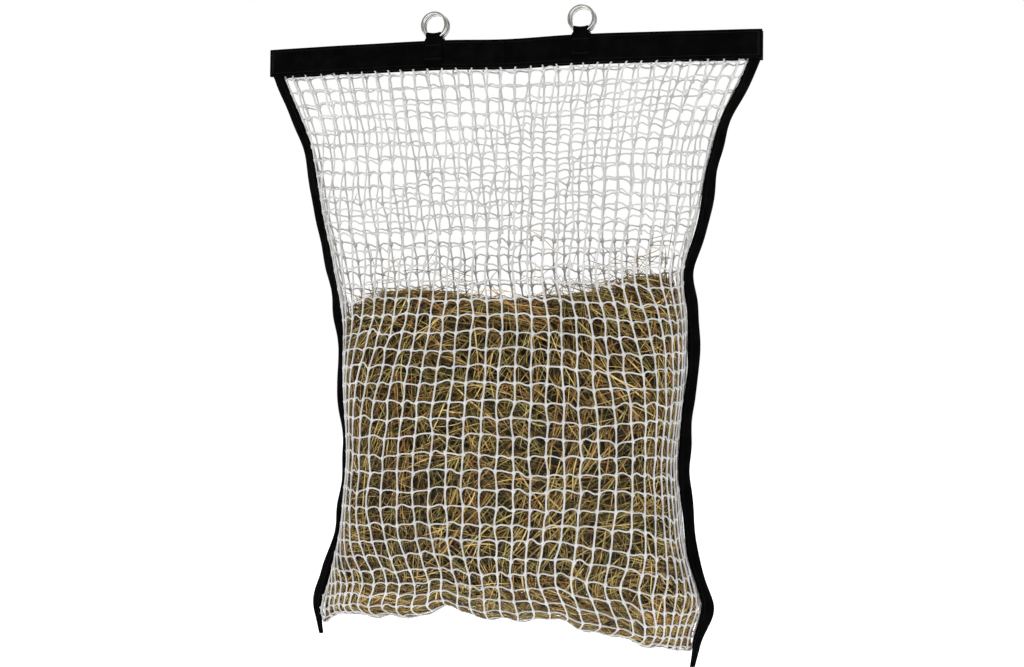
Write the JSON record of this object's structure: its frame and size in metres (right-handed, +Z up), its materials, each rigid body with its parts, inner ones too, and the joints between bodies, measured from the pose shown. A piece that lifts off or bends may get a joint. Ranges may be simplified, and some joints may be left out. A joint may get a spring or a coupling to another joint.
{
  "type": "hay net",
  "caption": "Square-mesh slow-feeder hay net with a webbing header, taped sides, hanging rings on webbing tabs and its load of hay.",
  "frame": {"origin": "the hanging point: midway between the rings, level with the inside of their tops, between the two headers", "axes": "+Z up, -Y out of the front of the net, +X to the right of someone facing it"},
  "size_m": [0.9, 0.3056, 1.129],
  "materials": {
    "webbing_black": "matte",
    "tape_black": "matte",
    "thread_black": "satin",
    "net_twine": "matte",
    "ring_metal": "polished",
    "hay": "matte"
  },
  "bodies": {
    "root": {"back_net": "net_twine", "front_net_lower": "net_twine", "side_binding_left": "tape_black", "side_binding_right": "tape_black", "side_stitching_left": "thread_black", "side_stitching_right": "thread_black", "header_band_back": "webbing_black", "header_stitching_back": "thread_black", "ring_tab_back_left": "webbing_black", "ring_tab_back_right": "webbing_black", "tab_bartacks_back": "thread_black", "corner_bartacks_back": "thread_black", "hay_fill": "hay"},
    "mouth_front": {"front_net_upper": "net_twine", "header_band_front": "webbing_black", "header_stitching_front": "thread_black", "ring_tab_front_left": "webbing_black", "ring_tab_front_right": "webbing_black", "tab_bartacks_front": "thread_black", "corner_bartacks_front": "thread_black"},
    "ring_front_left": {"ring_front_left": "ring_metal"},
    "ring_front_right": {"ring_front_right": "ring_metal"},
    "ring_back_left": {"ring_back_left": "ring_metal"},
    "ring_back_right": {"ring_back_right": "ring_metal"}
  },
  "joints": [
    {"name": "mouth_opening", "type": "hinge", "parent": "root", "child": "mouth_front", "pos_m": [0, -0.069, -0.397], "axis": [1, 0, 0], "range_deg": [0, 15]},
    {"name": "ring_swing_front_left", "type": "hinge", "parent": "mouth_front", "child": "ring_front_left", "pos_m": [-0.135, -0.009, -0.041], "axis": [1, 0, 0], "range_deg": [-6, 90]},
    {"name": "ring_swing_front_right", "type": "hinge", "parent": "mouth_front", "child": "ring_front_right", "pos_m": [0.135, -0.009, -0.041], "axis": [1, 0, 0], "range_deg": [-6, 90]},
    {"name": "ring_swing_back_left", "type": "hinge", "parent": "root", "child": "ring_back_left", "pos_m": [-0.135, 0.0085, -0.041], "axis": [-1, 0, 0], "range_deg": [-6, 90]},
    {"name": "ring_swing_back_right", "type": "hinge", "parent": "root", "child": "ring_back_right", "pos_m": [0.135, 0.0085, -0.041], "axis": [-1, 0, 0], "range_deg": [-6, 90]}
  ]
}
